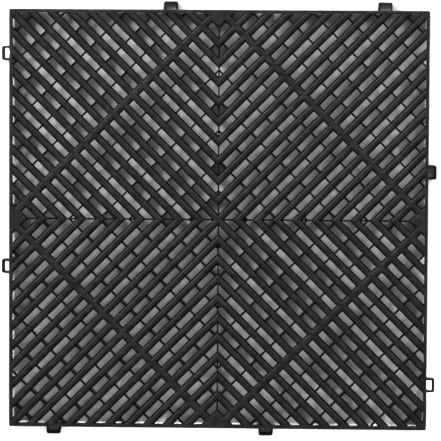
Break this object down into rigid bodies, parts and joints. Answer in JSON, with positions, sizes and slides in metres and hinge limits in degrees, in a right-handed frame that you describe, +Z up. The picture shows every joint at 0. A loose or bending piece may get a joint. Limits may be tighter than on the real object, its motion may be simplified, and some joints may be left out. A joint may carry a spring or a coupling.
{
  "type": "interlocking drainage floor tile",
  "caption": "Square moulded plastic drainage tile with a chevron grid of ribs and slots, a diamond band, short feet and coupling loops along every side.",
  "frame": {"origin": "middle of the tile on the plane that its feet stand on", "axes": "+Z up through the walking surface, +X and +Y along the sides, +Y towards the picture's top edge"},
  "size_m": [0.4154, 0.4154, 0.018],
  "materials": {
    "black_polypropylene": "as-moulded polypropylene, charcoal black, fine satin grain with a soft sheen on the rounded rib shoulders"
  },
  "bodies": {
    "root": {"drainage_tile": "black_polypropylene"}
  },
  "joints": []
}
